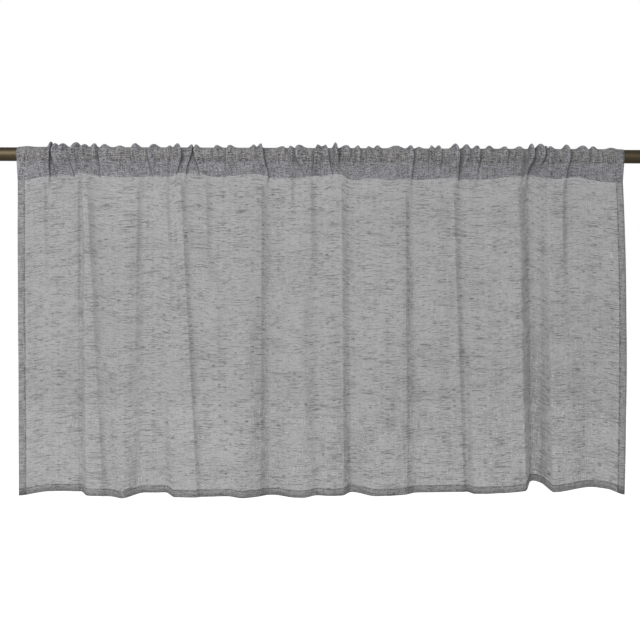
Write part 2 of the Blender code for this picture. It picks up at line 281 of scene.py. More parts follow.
print(len(PINCHES), "pinches, the highest", max(pinch.height for pinch in PINCHES) * 1000, "mm")

# %% [markdown]
# Four small tools turn those tables into a surface. The first reads a smooth line through a table's rows
# without overshooting any row, and the second eases a change in and out. The third is the bell shape of a
# pinch, with its own width on each side, and the fourth is the one-sided shape of a crease.


# %% Smooth lines, bells and creases
CREASE_ROUNDING = 1.2


def smooth_line(places, values, at):
    """Read the smooth line through a table's rows, which never overshoots a row."""
    places = np.array(places)
    values = np.array(values)
    widths = np.diff(places)
    rises = np.diff(values) / widths
    slopes = np.zeros(len(places))
    product = rises[:-1] * rises[1:]
    total = np.where(product > 0, rises[:-1] + rises[1:], 1.0)
    slopes[1:-1] = np.where(product > 0, 2 * product / total, 0.0)
    at = np.clip(at, places[0], places[-1])
    row = np.clip(np.searchsorted(places, at, side="right") - 1, 0, len(widths) - 1)
    t = (at - places[row]) / widths[row]
    start = (2 * t**3 - 3 * t**2 + 1) * values[row] + (t**3 - 2 * t**2 + t) * widths[row] * slopes[row]
    end = (3 * t**2 - 2 * t**3) * values[row + 1] + (t**3 - t**2) * widths[row] * slopes[row + 1]
    return start + end


def ease(share):
    """Go from 0 to 1 with a level start and end."""
    share = np.clip(share, 0.0, 1.0)
    return share * share * (3 - 2 * share)


def bell(offset, left, right, fullness=2.0):
    """A round bell with its own width on each side; a fuller one has a flatter top and steeper sides."""
    return np.exp(-np.abs(offset / np.where(offset < 0, left, right)) ** fullness)


def dropped_back(offset, fall, back):
    """The shape of a crease: sharp at its edge, level at the end of its fall, then gently back."""
    left = np.clip(1 - offset / fall, 0.0, 1.0)
    past = np.clip(offset - fall, 0.0, None)
    return (1 - left**2) ** CREASE_ROUNDING * np.exp(-((past / back) ** 2))


print("halfway from 0 to 1, eased:", float(ease(0.5)))

# %% [markdown]
# The drop is the part below the stitch line. Every point of it is found from two numbers: the place along
# the hem that its thread ends at, and its share of the way down. The threads stand straight but lean with
# their creases, the depth grows from nearly flat at the pocket to the full hem line, and the creases and
# the feet of the pinches are added on top. The right edge bows out a little on its way down, and a few slow
# ripples keep the broad panels from looking ironed.

# %% Where the drop's points lie
PINCH_TAIL = 0.035
PINCH_AT_STITCH = 0.34
PINCH_FULLNESS = 2.6
FADED_SHARE = 0.9
LEAN_AT_TOP = 0.35
LEAN_IN_FRONT = 1.35
LEAN_GROWN_AT = 0.35
LEAN_FADING = 12
SCALLOP = 0.0011
SCALLOP_FULL_AT = 0.002
EDGE_BOW = 0.0050
EDGE_BOW_FROM = 0.440
EDGE_BOW_RISE = 0.8
RIPPLE_DRIFT = 0.1
RIPPLE_GROWTH = 5
Ripple = namedtuple("Ripple", "length lean turn size")
RIPPLES = (
    Ripple(0.083, 0.35, 0.4, 0.0011),
    Ripple(0.047, -0.60, 2.1, 0.0007),
    Ripple(0.029, 0.90, 4.0, 0.0004),
)


def top_x_of(hem_x):
    """Where the thread that ends at a place on the hem crosses the stitch line."""
    places = [HEMS[0].x] + [crease.hem_x for crease in CREASES] + [HEMS[-1].x]
    lean = [STITCHES[0].x - HEMS[0].x]
    lean += [crease.top_x - crease.hem_x for crease in CREASES]
    lean += [STITCHES[-1].x - HEMS[-1].x]
    return hem_x + smooth_line(places, lean, hem_x)


def pinch_bells(top_x, down):
    """How far the pinches stand out and lean; down is 0 on the rod's top and 1 at the stitches."""
    out = np.zeros_like(top_x + down)
    aside = np.zeros_like(out)
    for pinch in PINCHES:
        x = pinch.x + pinch.drift * ease(down) + pinch.bow * np.sin(math.pi * np.clip(down, 0.0, 1.0))
        shape = bell(top_x - x, pinch.left, pinch.right, PINCH_FULLNESS)
        if pinch.foot < 1:
            kept = 1 - FADED_SHARE * ease(down / pinch.foot)
        else:
            kept = 1 - (1 - PINCH_AT_STITCH) * ease(down)
        out += pinch.height * kept * shape
        lean = pinch.lean * (LEAN_AT_TOP + (LEAN_IN_FRONT - LEAN_AT_TOP) * ease(down / LEAN_GROWN_AT))
        aside += lean * np.sqrt(kept) * shape
    return out, aside


def drop_points(hem_x, share):
    """Points of the drop; share goes from 0 at the stitch line to 1 at the hem."""
    top_x = top_x_of(hem_x)
    top_z = smooth_line([s.x for s in STITCHES], [s.height for s in STITCHES], top_x)
    hem_z = HEM_LEVEL + smooth_line([h.x for h in HEMS], [h.lift for h in HEMS], hem_x)
    depth = smooth_line([h.x for h in HEMS], [h.depth for h in HEMS], hem_x)
    depth = depth * (TOP_SHARE + (1 - TOP_SHARE) * share) + TOP_SLACK * (1 - share)
    held = STITCHED_SHARE + (1 - STITCHED_SHARE) * ease(share / SPREAD_OUT_SHARE)
    for crease in CREASES:
        fading = 1 - ease(share / crease.fade) if crease.fade < 1 else 1 - share
        deep = held * (crease.hem_depth + (crease.top_depth - crease.hem_depth) * fading)
        depth = depth + deep * dropped_back(hem_x - crease.hem_x, crease.fall, crease.back)
    for ripple in RIPPLES:
        phase = 2 * math.pi * (hem_x + ripple.lean * RIPPLE_DRIFT * share) / ripple.length + ripple.turn
        depth = depth + ripple.size * ease(share * RIPPLE_GROWTH) * np.sin(phase)
    out, aside = pinch_bells(top_x, np.ones_like(share))
    fallen = share * (top_z - HEM_LEVEL)
    tail = 1 - ease(fallen / PINCH_TAIL)
    bow = EDGE_BOW * np.sin(math.pi * np.clip(share, 0.0, 1.0) ** EDGE_BOW_RISE)
    bowed = ease((hem_x - EDGE_BOW_FROM) / (HEMS[-1].x - EDGE_BOW_FROM))
    x = top_x + (hem_x - top_x) * share + aside * tail**LEAN_FADING + bow * bowed
    z = top_z + SCALLOP * np.clip(out / SCALLOP_FULL_AT, 0, 1) * tail + (hem_z - top_z) * share
    return np.stack([x, depth - out * tail, z], axis=-1)


sample = drop_points(np.array([[HEMS[0].x]]), np.array([[1.0]]))
print("the left hem corner is at", sample[0, 0].round(4))

# %% [markdown]
# The pocket is a drop-shaped loop: it leaves the stitch line, touches the rod in front, goes over the top
# and comes back down behind. Two straight runs and an arc round the rod's axis give exactly that. The
# pinches push the loop outwards, most on the top of the rod and less behind it.

# %% Where the pocket's points lie
FRONT_RUN = 0.30
BACK_RUN = 0.80
BEHIND_SHARE = 0.35
BACK_SEAM_SHARE = 0.07


def pocket_swell(hem_x, loop):
    """How far the pinches lift the pocket off its loop, and how far they lean."""
    top = (FRONT_RUN + BACK_RUN) / 2
    out, aside = pinch_bells(top_x_of(hem_x), np.clip((top - loop) / top, 0.0, 1.0))
    past_top = ease((loop - top) / (1 - top))
    at_seam = ease((loop - 1 + BACK_SEAM_SHARE) / BACK_SEAM_SHARE)
    kept = (1 - (1 - BEHIND_SHARE) * past_top) * (1 - at_seam)
    return out * kept, aside * kept


def pocket_points(hem_x, loop):
    """Points of the pocket; loop goes from 0 at the stitches in front to 1 at the stitches behind."""
    root = drop_points(hem_x, np.zeros_like(loop))
    top_x = top_x_of(hem_x)
    root_y = root[..., 1] + pinch_bells(top_x, np.ones_like(loop))[0]
    root_z = root[..., 2]
    reach = np.hypot(root_y, root_z)
    down = 0.5 * np.arctan2(root_y, -root_z)
    opening = np.arccos(POCKET_RADIUS / reach)
    along = np.clip((loop - FRONT_RUN) / (BACK_RUN - FRONT_RUN), 0.0, 1.0)
    angle = down - opening - along * (2 * math.pi - 2 * opening)
    ring = np.stack([POCKET_RADIUS * np.sin(angle), -POCKET_RADIUS * np.cos(angle)], axis=-1)
    outward = np.stack([np.sin(angle), -np.cos(angle)], axis=-1)
    front = np.clip(1 - loop / FRONT_RUN, 0.0, 1.0)[..., None]
    behind = np.clip((loop - BACK_RUN) / (1 - BACK_RUN), 0.0, 1.0)[..., None]
    base = np.stack([root_y, root_z], axis=-1)
    behind_base = base + np.array([2 * LAYER_GAP, 0.0])
    place = ring * (1 - front - behind) + base * front + behind_base * behind
    outward = outward * (1 - front) + np.array([-1.0, 0.0]) * front
    out, aside = pocket_swell(hem_x, loop)
    place = place + outward * out[..., None]
    return np.stack([top_x + aside, place[..., 0], place[..., 1]], axis=-1)


sample = pocket_points(np.array([[0.0]]), np.array([[0.55]]))
print("the pocket crosses the top of the rod at", sample[0, 0].round(4))

# %% [markdown]
# The cloth is one piece, so its mesh is one grid: columns follow the threads that run down, and rows run
# across. Columns stand close together where the cloth bends sharply and far apart on the flat panels. The
# hems are the same sheet folded back on itself, so the outer columns and the lowest rows turn round an
# edge, run back a little way behind the cloth and end in a narrow raw edge that is turned in.

# %% Columns and rows of the grid
COLUMN_COUNT = 940
DROP_ROW_COUNT = 58
ROW_CROWDING = 1.3
LOOP_ROW_COUNTS = (10, 22, 5)
FINE_COUNT = 20001
CREASE_CROWDING = 0.9
PINCH_CROWDING = 3.2
PINCH_REACH = 1.5
FOLD_ROUNDING = 0.0006
EDGE_CLEAR = 0.0004
Turn = namedtuple("Turn", "inward behind")
HEM_TURNS = (
    Turn(-0.0030, 1.1),
    Turn(-0.0006, 1.1),
    Turn(0.0000, 1.5),
    Turn(-0.0006, 2.0),
    Turn(-0.0060, 2.0),
)


def column_places():
    """Spread the columns over the hem, closer together at pinches and creases."""
    fine = np.linspace(HEMS[0].x, HEMS[-1].x, FINE_COUNT)
    top_x = top_x_of(fine)
    density = np.ones_like(fine)
    for crease in CREASES:
        density += CREASE_CROWDING * bell(fine - crease.hem_x - crease.fall / 3, crease.fall, crease.fall)
    for pinch in PINCHES:
        middle = pinch.x + (pinch.drift + pinch.lean) / 2
        spare = (abs(pinch.drift) + abs(pinch.lean)) / 2
        left = PINCH_REACH * pinch.left + spare
        right = PINCH_REACH * pinch.right + spare
        density += PINCH_CROWDING * bell(top_x - middle, left, right)
    total = np.concatenate([[0.0], np.cumsum((density[1:] + density[:-1]) / 2)])
    return np.interp(np.linspace(0.0, total[-1], COLUMN_COUNT), total, fine)


def turned_edge(depth):
    """The turned edge from its raw end to its fold: how far in from the fold, and how many gaps behind."""
    inward = [depth + turn.inward for turn in HEM_TURNS] + [FOLD_ROUNDING, 0.0]
    behind = [turn.behind for turn in HEM_TURNS] + [2.0, 1.0]
    return np.array(inward), np.array(behind)


inside = column_places()
side_in, side_behind = turned_edge(SIDE_HEM)
inside = inside[(inside > HEMS[0].x + EDGE_CLEAR) & (inside < HEMS[-1].x - EDGE_CLEAR)]
columns = np.concatenate([HEMS[0].x + side_in, inside, (HEMS[-1].x - side_in)[::-1]])
columns_behind = np.concatenate([side_behind, np.zeros(len(inside)), side_behind[::-1]])

drop_height = -HEM_LEVEL - MEAN_STITCH_DROP
shares = np.linspace(0.0, 1.0, DROP_ROW_COUNT)[1:] ** ROW_CROWDING
bottom_in, bottom_behind = turned_edge(BOTTOM_HEM)
shares = shares[shares < 1 - 2 * EDGE_CLEAR / drop_height]
hem_shares = 1 - bottom_in[::-1] / drop_height
front_rows, ring_rows, back_rows = LOOP_ROW_COUNTS
loops = np.concatenate([
    np.linspace(0.0, FRONT_RUN, front_rows),
    np.linspace(FRONT_RUN, BACK_RUN, ring_rows)[1:],
    np.linspace(BACK_RUN, 1.0, back_rows)[1:],
])
print(len(columns), "columns,", len(loops) + len(shares) + len(hem_shares), "rows")

# %% [markdown]
# Now every corner of the grid gets its place. A second reading a hair to each side gives the direction
# that the cloth faces, which says where "behind" is for the turned edges. The same readings tell the
# finish two things: how far the cloth turns away from the window, because sheer cloth looks denser edge
# on, and whether a spot is on a ridge or in a valley. That second one is used only for painted light and
# shade: ridges are painted lighter as a painted highlight and valleys darker as painted shade.

# %% Points, facing, turn and relief
HAIR = 0.0004
ROW_NUDGE = 0.002
RIDGE_SPAN = 0.0024
RIDGE_DEPTH = 0.0011
POCKET_TURNED = 0.42
DROP_TURNED = 0.70
DROP_TURN = 0.5
FOLDED_TURN = 0.36


def cloth_rows(hem_x, nudge=0.0):
    """The points of every row, pocket first, from its back edge to the hem's raw edge; nudge is a step up."""
    pocket = pocket_points(hem_x, np.clip(loops[::-1, None] + nudge, 0, 1) + 0 * hem_x)
    drop = drop_points(hem_x, np.concatenate([shares, hem_shares])[:, None] - nudge + 0 * hem_x)
    return np.concatenate([pocket, drop])


hem_x = columns[None, :]
points = cloth_rows(hem_x)
across = cloth_rows(hem_x + HAIR) - cloth_rows(hem_x - HAIR)
up = cloth_rows(hem_x, ROW_NUDGE) - cloth_rows(hem_x, -ROW_NUDGE)
facing = np.cross(across, up)
facing /= np.linalg.norm(facing, axis=2, keepdims=True)
beside = (cloth_rows(hem_x + RIDGE_SPAN) + cloth_rows(hem_x - RIDGE_SPAN)) / 2 - points
# relief feeds only painted light and shade: plus on ridges, which are painted lighter, minus in valleys,
# which are painted darker
relief = np.clip(-np.sum(beside * facing, axis=2) / RIDGE_DEPTH, -1.0, 1.0)
stretch = across[..., 0] / (2 * HAIR)
in_pocket = np.concatenate([np.ones(len(loops)), np.zeros(len(shares) + len(hem_shares))])[:, None]
least_facing = DROP_TURNED + (POCKET_TURNED - DROP_TURNED) * in_pocket
turn = 1 / np.clip(np.abs(facing[..., 1]), least_facing, 1.0)
turn = turn ** (DROP_TURN + (1 - DROP_TURN) * in_pocket)
print("the cloth turns from the window by up to", round(float(turn.max()), 2), "times its own thickness")

# %% [markdown]
# The gathers need more than that. Where a pinch folds over, little light gets into the gap beside it, and
# its edge catches what there is as a thin bright rim. Both are painted into the cloth's colour, as a
# painted shadow in the gap and a painted highlight on the rim, and both are worked out by comparing each
# spot with its neighbours in the same row: a near one that stands higher shades it, and the painted
# shadow is made darkest on the side that faces the lamp, where the real light would hide the gap. The
# whole pocket is also painted a little lighter, and cloth tucked under a pinch is painted darker. A pinch
# also lifts the cloth off the rod, and the side hems add layers, so there the rod's painted shade and
# warm tint are left off.

# %% Painted shade and painted rim highlights among the gathers
# Strengths of the painted shadow in the gaps, the painted rim highlight and the painted brightening of the
# pocket
NEIGHBOURS = 16
SHADOW_END = 0.0052
SHADOW_DEPTH = 0.0030
MOST_SHADOW = 1.7
FACING_LAMP = 2.0
TUCKED_BELOW = 0.45
TUCKED_SPAN = 0.9
TUCK_SHADE = 0.6
RIM_STRETCH = 0.25
RIM_SPAN = 0.65
RIM_FROM = 0.45
RIM_FADE = 0.3
RIM_HEIGHT = 0.002
RIM_LIGHT = 1.8
LEAST_CREST = 0.0001
POCKET_PAINTED_BRIGHTENING = 0.66
POCKET_PAINTED_RELIEF = 0.8
DROP_PAINTED_RELIEF = 0.12
LIFTED_BY = 0.0035

swell = pocket_swell(hem_x, loops[::-1, None] + 0 * hem_x)[0]
pocket_x = points[:len(loops), :, 0]
shadow = np.zeros_like(swell)
crest = swell + LEAST_CREST
for step in range(-NEIGHBOURS, NEIGHBOURS + 1):
    beyond = np.roll(swell, step, axis=1)
    nearness = np.clip(1 - np.abs(np.roll(pocket_x, step, axis=1) - pocket_x) / SHADOW_END, 0.0, 1.0)
    # the painted shadow is made darker on the side of a pinch that faces the lamp
    strength = FACING_LAMP if step < 0 else 1.0
    shadow = np.maximum(shadow, np.clip((beyond - swell) / SHADOW_DEPTH, 0.0, 1.0) * nearness * strength)
    crest = np.maximum(crest, np.where(nearness > 0, beyond, 0.0))
edge_on = np.clip(1 - np.abs(stretch[:len(loops)] - RIM_STRETCH) / RIM_SPAN, 0.0, 1.0)
rim = edge_on * ease((swell / crest - RIM_FROM) / RIM_FADE) * ease(swell / RIM_HEIGHT)
below_pocket = np.zeros((len(shares) + len(hem_shares), len(columns)))
# painted light of the pocket: an overall painted brightening, painted rim highlights and painted shadow in
# the gaps
pocket_painted_light = np.concatenate([POCKET_PAINTED_BRIGHTENING + RIM_LIGHT * rim - MOST_SHADOW * shadow, below_pocket])
# where a pinch lifts the cloth off the rod, or over the side hems, the rod's painted shade is left off
over_hem = np.minimum(hem_x - HEMS[0].x, HEMS[-1].x - hem_x) < SIDE_HEM
lifted = np.concatenate([np.clip(swell / LIFTED_BY + over_hem, 0.0, 1.0), below_pocket])
doubled = in_pocket + 0 * hem_x
tuck = np.clip((TUCKED_BELOW - stretch) / TUCKED_SPAN, 0.0, 1.0) * in_pocket
# painted light and shade for the cloth's colour: relief painted light and dark, tucked-under cloth painted
# darker, and the pocket's painted light
ridge = relief * (DROP_PAINTED_RELIEF + (POCKET_PAINTED_RELIEF - DROP_PAINTED_RELIEF) * in_pocket) - TUCK_SHADE * tuck + pocket_painted_light
print("shade lies over", round(float((shadow > 0.5).mean()) * 100), "% of the pocket")

# %% [markdown]
# The turned edges are the same rows and columns moved back by a layer or two, the way that the cloth
# faces. A hem is several layers thick but it is lit as one cloth, so its layers count for less than their
# full density.

# %% The turned edges
rows_behind = np.concatenate([np.zeros(len(loops) + len(shares)), bottom_behind[::-1]])
behind = columns_behind[None, :] + rows_behind[:, None]
folded_under = (columns_behind[None, :] > 1) | (rows_behind[:, None] > 1)
turn = np.where(folded_under, FOLDED_TURN * turn, turn)
points = points - facing * (LAYER_GAP * behind)[..., None]
print("the hems reach", round(LAYER_GAP * behind.max() * 1000, 1), "mm behind the cloth where they cross")

# %% [markdown]
# The grid operator makes the faces, and the points drop into its corners. The sheet then gets a map in real
# metres, measured along the cloth itself, so a woven thread follows every fold just as it would if the
# cloth had been woven flat and then hung. What was worked out for each corner goes along as attributes.


# %% The sheet
def make_sheet(name, points, **attributes):
    """One grid of cloth with its woven map and the attributes that its finish reads."""
    row_count, column_count = points.shape[:2]
    mesh = bmesh.new()
    bmesh.ops.create_grid(mesh, x_segments=column_count - 1, y_segments=row_count - 1, size=1.0)
    data = bpy.data.meshes.new(name)
    mesh.to_mesh(data)
    mesh.free()
    data.vertices.foreach_set("co", points[::-1].reshape(-1).astype(np.float32))
    steps_across = np.linalg.norm(np.diff(points, axis=1), axis=2)
    steps_down = np.linalg.norm(np.diff(points, axis=0), axis=2)
    u = np.concatenate([[0.0], np.cumsum(steps_across[len(loops):].mean(axis=0))])
    v = np.concatenate([[0.0], np.cumsum(steps_down.mean(axis=1))])
    woven = np.stack(np.broadcast_arrays(u[None, :], -v[:, None]), axis=-1)[::-1].reshape(-1, 2)
    corner = np.empty(len(data.loops), dtype=np.int32)
    data.loops.foreach_get("vertex_index", corner)
    data.uv_layers.new(name="woven").data.foreach_set("uv", woven[corner].reshape(-1).astype(np.float32))
    for label, values in attributes.items():
        layer = data.attributes.new(label, "FLOAT", "POINT")
        layer.data.foreach_set("value", values[::-1].reshape(-1).astype(np.float32))
    data.shade_smooth()
    data.update()
    thing = bpy.data.objects.new(name, data)
    bpy.context.scene.collection.objects.link(thing)
    return thing, u[-1], v[-1]


curtain, cut_width, cut_length = make_sheet(
    "curtain_cloth", points, turn=turn, ridge=ridge, lifted=lifted, doubled=doubled)
print("the cloth is", round(cut_width, 3), "by", round(cut_length, 3), "m flat, in",
      2 * len(curtain.data.polygons), "triangles")

# %% [markdown]
# Stitches are tiny, but they are what makes an edge look sewn. Each one is a short bit of thread that dips
# into the cloth at both ends. A curve object with one short spline for each stitch and a round bevel makes
# them all at once, and turning the curve into a mesh finishes it. The lines run under the pocket, along
# the top of the bottom hem and along the inner edge of both side hems, in front and behind.

# %% Stitches
STITCH_PITCH = 0.0034
STITCH_LENGTH = 0.0025
THREAD_RADIUS = 0.00024
STITCH_BENDS = ((0.0, -0.5), (0.5, 0.7), (1.0, -0.5))
SEAM_INSET = 0.0012
SEAM_CLEAR = 0.001
SIDE_SEAM_STEPS = 80


def sew(curve, line, outward):
    """Lay stitches along a line of points, standing a little proud on the side that outward points to."""
    steps = np.linalg.norm(np.diff(line, axis=0), axis=1)
    place = np.concatenate([[0.0], np.cumsum(steps)])
    for start in np.arange(STITCH_PITCH / 2, place[-1] - STITCH_LENGTH, STITCH_PITCH):
        spline = curve.splines.new("POLY")
        spline.points.add(2)
        for spot, (share, lift) in zip(spline.points, STITCH_BENDS):
            at = start + share * STITCH_LENGTH
            here = np.array([np.interp(at, place, line[:, i]) for i in range(3)])
            out = np.array([np.interp(at, place, outward[:, i]) for i in range(3)])
            spot.co = (*(here + out * lift * THREAD_RADIUS), 1.0)


def seam_along(hem_x, share, side):
    """A line on the drop and the way it faces; side is 1 in front and -1 behind."""
    here = drop_points(hem_x, share)
    step_x = drop_points(hem_x + HAIR, share) - here
    step_up = drop_points(hem_x, share - ROW_NUDGE) - here
    out = np.cross(step_x, step_up)
    out /= np.linalg.norm(out, axis=1, keepdims=True)
    behind = 0.0 if side > 0 else 2 * LAYER_GAP
    return here - out * behind, out * side


thread = bpy.data.curves.new("stitches", "CURVE")
thread.dimensions = "3D"
thread.bevel_depth = THREAD_RADIUS
thread.bevel_resolution = 0
thread.use_fill_caps = True
between_hems = inside[(inside > HEMS[0].x + SEAM_CLEAR) & (inside < HEMS[-1].x - SEAM_CLEAR)]
down_the_side = np.linspace(0.0, 1.0, SIDE_SEAM_STEPS)
hem_seam = 1 - (BOTTOM_HEM - SEAM_INSET) / drop_height
for side in (1, -1):
    sew(thread, *seam_along(between_hems, np.zeros_like(between_hems), side))
    sew(thread, *seam_along(between_hems, np.full_like(between_hems, hem_seam), side))
    for edge in (HEMS[0].x + SIDE_HEM - SEAM_INSET, HEMS[-1].x - SIDE_HEM + SEAM_INSET):
        sew(thread, *seam_along(np.full_like(down_the_side, edge), down_the_side, side))
as_curve = bpy.data.objects.new("stitches_curve", thread)
bpy.context.scene.collection.objects.link(as_curve)
bpy.context.view_layer.update()
stitch_mesh = bpy.data.meshes.new_from_object(as_curve.evaluated_get(bpy.context.evaluated_depsgraph_get()))
bpy.data.objects.remove(as_curve)
stitches = bpy.data.objects.new("stitches", stitch_mesh)
bpy.context.scene.collection.objects.link(stitches)
print(len(thread.splines), "stitches,", len(stitch_mesh.polygons), "faces")

# %% [markdown]
# Finishes are built from nodes, and node trees are easier to read as sums. A wire stands for one socket:
# adding or multiplying wires adds the Math nodes that do it. Everything else goes through one method that
# takes a node's type, its settings and what is plugged into it.


# %% A wire that does arithmetic
class Wire:
    """One output socket of a material's node tree."""

    def __init__(self, tree, socket):
        self.tree = tree
        self.socket = socket

    def node(self, kind, settings=None, out=0, **inputs):
        """Add a node of a type: settings first, then inputs by name or number, as in i0=wire."""
        made = self.tree.nodes.new(kind)
        for name, value in (settings or {}).items():
            setattr(made, name, value)
        for name, value in inputs.items():
            key = int(name[1:]) if name[0] == "i" and name[1:].isdigit() else name.replace("_", " ")
            if isinstance(value, Wire):
                self.tree.links.new(value.socket, made.inputs[key])
            else:
                made.inputs[key].default_value = value
        return Wire(self.tree, made.outputs[out])

    def maths(self, operation, first, second):
        return self.node("ShaderNodeMath", {"operation": operation}, i0=first, i1=second)

    def __add__(self, other):
        return self.maths("ADD", self, other)

    def __radd__(self, other):
        return self.maths("ADD", other, self)

    def __sub__(self, other):
        return self.maths("SUBTRACT", self, other)

    def __rsub__(self, other):
        return self.maths("SUBTRACT", other, self)

    def __mul__(self, other):
        return self.maths("MULTIPLY", self, other)

    def __rmul__(self, other):
        return self.maths("MULTIPLY", other, self)

    def __pow__(self, other):
        return self.maths("POWER", self, other)

    def held(self, low, high):
        """The value kept between two limits."""
        return self.maths("MINIMUM", self.maths("MAXIMUM", self, low), high)

    def rise(self, low, high):
        """0 below low, 1 above high and smooth between them."""
        return self.node("ShaderNodeMapRange", {"interpolation_type": "SMOOTHSTEP"}, Value=self,
                         From_Min=low, From_Max=high)


def new_finish(name):
    """A material with its Principled shader, and a wire to start from."""
    material = bpy.data.materials.new(name)
    material.use_nodes = True
    tree = material.node_tree
    shader = tree.nodes["Principled BSDF"]
    return material, shader, Wire(tree, shader.outputs[0])


def plug(shader, name, wire):
    wire.tree.links.new(wire.socket, shader.inputs[name])


def mix_colors(wire, share, first, second):
    """A colour part of the way from the first to the second."""
    return wire.node("ShaderNodeMix", {"data_type": "RGBA"}, out=2, i0=share, i6=first, i7=second)


def uneven(wire, place, length, height, detail=2.0, seed=0.0):
    """Soft noise between 0 and 1 whose patches are length long across and height high, in metres."""
    scaled = wire.node("ShaderNodeMapping", {}, Vector=place, Scale=(1 / length, 1 / height, 1.0),
                       Location=(seed, seed * 1.7, seed * 0.3))
    return wire.node("ShaderNodeTexNoise", {"noise_dimensions": "3D"}, out=0, Vector=scaled, Scale=1.0,
                     Detail=detail, Roughness=0.55)


print("wires are ready")

# %% [markdown]
# The cloth's yarn is a heathered grey: each thread varies a little in tone. Three noises stand for it, one
# stretched across the cloth, one stretched down it and one round grain. Slubs are the thick places in a
# linen-look yarn. They show as short dark dashes across the cloth, in loose clusters, so a noise that is
# stretched along the thread is cut at a threshold that wanders. The gaps between the threads let light
# through, and that is the alpha: a slub closes the gaps and so does cloth that turns edge on.
#
# The pocket is two layers with the rod between them, so it reads darker and finer. Its cooler tint is
# painted on, and so is a warm dark band of painted shade where the rod shows through, which ends sharply
# at the rod's lower edge.

# %% Threads and slubs, in metres
Thread = namedtuple("Thread", "across down seed tone gap bump")
THREADS = (
    Thread(0.0120, 0.0019, 3.0, 2.3, 2.0, 0.5),
    Thread(0.0018, 0.0160, 11.0, 1.5, 1.8, 0.3),
    Thread(0.0019, 0.0017, 23.0, 1.9, 2.2, 0.4),
)
Slub = namedtuple("Slub", "across down seed clustered start full")
SLUBS = (
    Slub(0.010, 0.0010, 53.0, 0.20, 0.62, 0.74),
    Slub(0.034, 0.0009, 67.0, 0.18, 0.63, 0.74),
)
YARN_DARK = (0.096, 0.095, 0.099, 1.0)
YARN_LIGHT = (0.305, 0.302, 0.309, 1.0)
# painted tints: cooler on the two-layer pocket, warmer where the rod shows through it
PAINTED_POCKET_COOL = (0.99, 0.99, 1.025, 1.0)
PAINTED_ROD_WARMTH = (1.01, 1.0, 0.975, 1.0)
OPEN_SHARE = 0.19
SLUB_CLOSES = 0.8
SLUB_DARKENS = 0.55
SLUB_IN_POCKET = 0.25
THREADS_IN_POCKET = 0.55
FINE_GRAIN = 0.0013
FINE_TONE = 2.6
BROAD_TONE = 0.4
# how strongly the painted light and shade lighten or darken the yarn's colour
PAINTED_LIGHT_STRENGTH = 0.45
# the rod's painted shade: how dark it is, and how it ends at the rod's lower edge
ROD_PAINTED_SHADE = 0.36
ROD_EDGE = 0.0016
ROD_CROWDING = 1.5
LIT_LIMITS = (0.16, 2.0)
GAP_LIMITS = (0.01, 0.6)


def read_from_mesh(wire, label):
    """The value that the mesh carries under a label."""
    return wire.node("ShaderNodeAttribute", {"attribute_name": label}, out=2)


def added_up(wires):
    total = wires[0]
    for wire in wires[1:]:
        total = total + wire
    return total


